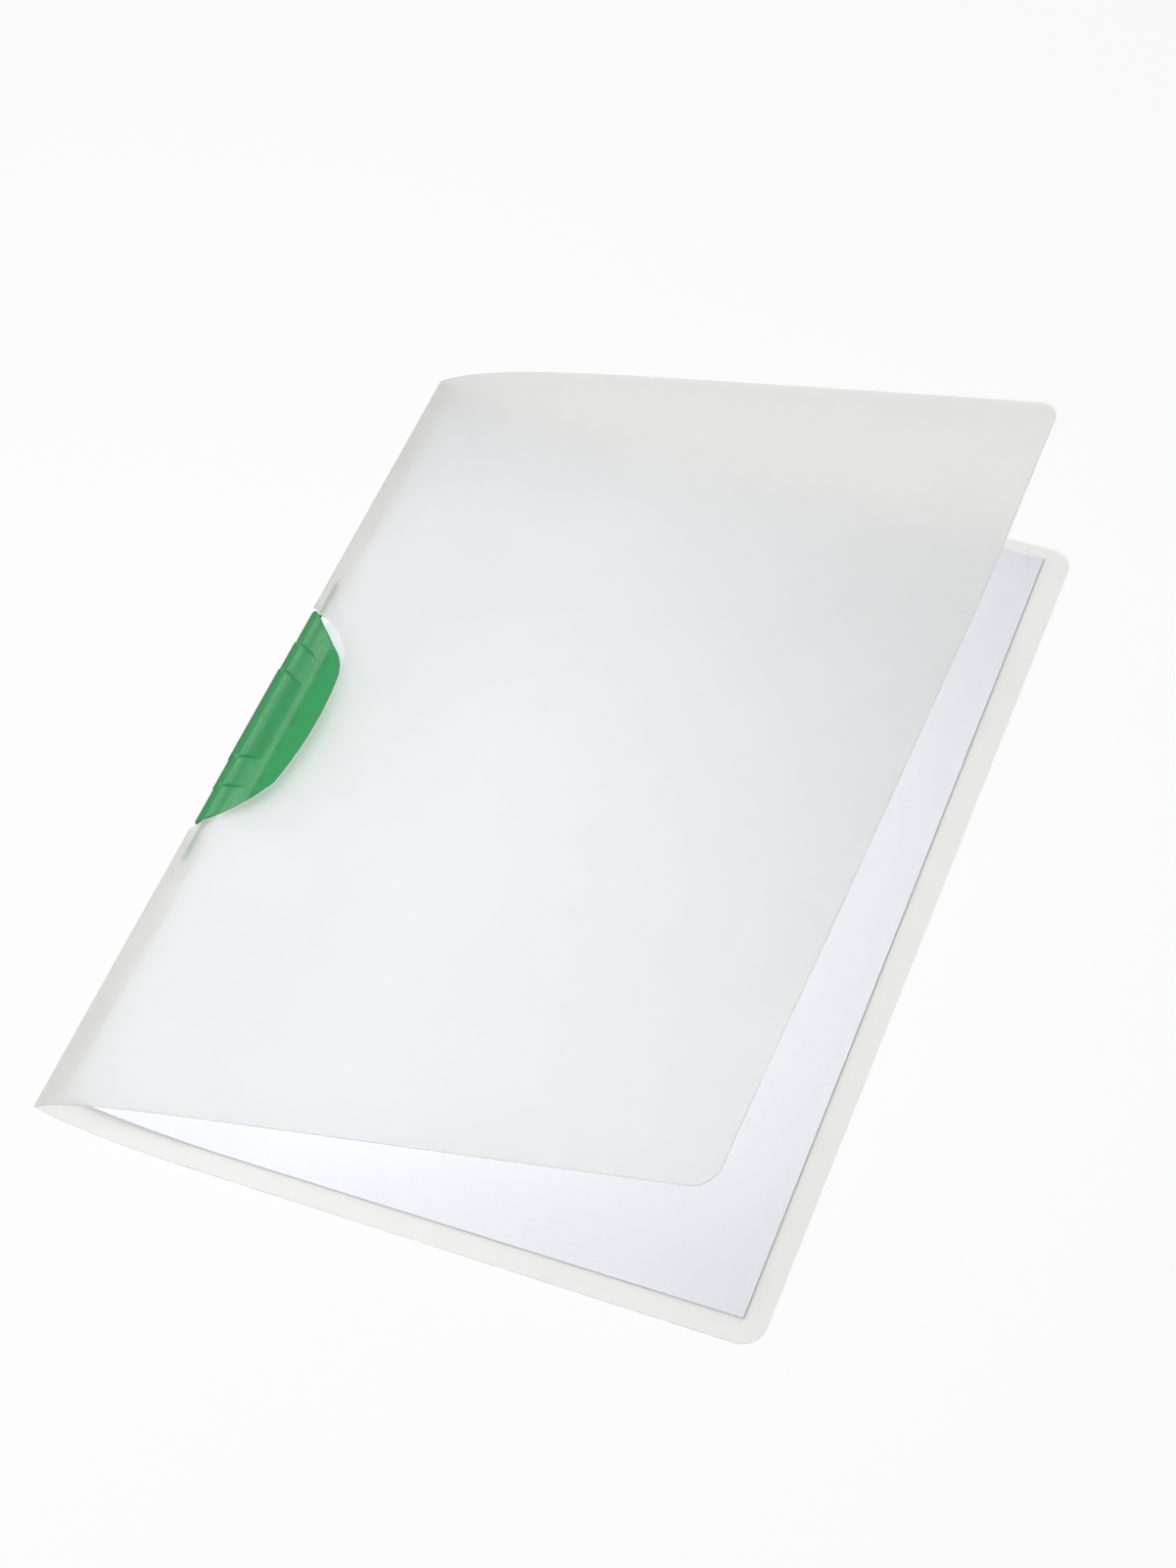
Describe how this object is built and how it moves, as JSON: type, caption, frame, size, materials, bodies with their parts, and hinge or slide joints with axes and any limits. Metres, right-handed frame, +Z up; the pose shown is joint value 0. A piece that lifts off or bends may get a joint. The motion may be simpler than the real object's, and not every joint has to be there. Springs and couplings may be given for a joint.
{
  "type": "clip folder",
  "caption": "A4 folder of frosted film folded once, sprung half open, with sheets of paper held by a half-moon clip that swings out through a cut-out at the fold.",
  "frame": {"origin": "centre of the folder's footprint on the table", "axes": "+X from the fold to the free edges, +Y along the fold away from the reader, +Z up from the back cover"},
  "size_m": [0.2252, 0.31, 0.0807],
  "materials": {
    "film": "satin",
    "paper": "matte",
    "clip": "satin"
  },
  "bodies": {
    "back": {"back_cover": "film", "paper_sheets": "paper", "clip_base": "clip"},
    "front": {"front_cover": "film"},
    "jaw": {"clip_jaw": "clip"}
  },
  "joints": [
    {"name": "front_cover_fold", "type": "hinge", "parent": "back", "child": "front", "pos_m": [-0.11263, 0, 0.00718], "axis": [0, -1, 0], "range_deg": [-15, 160], "stiffness_Nm_per_rad": 0.05, "springref_deg": 36.1},
    {"name": "clip_swing", "type": "hinge", "parent": "back", "child": "jaw", "pos_m": [-0.10923, 0, 0.00706], "axis": [0, -1, 0], "range_deg": [0, 110]}
  ]
}
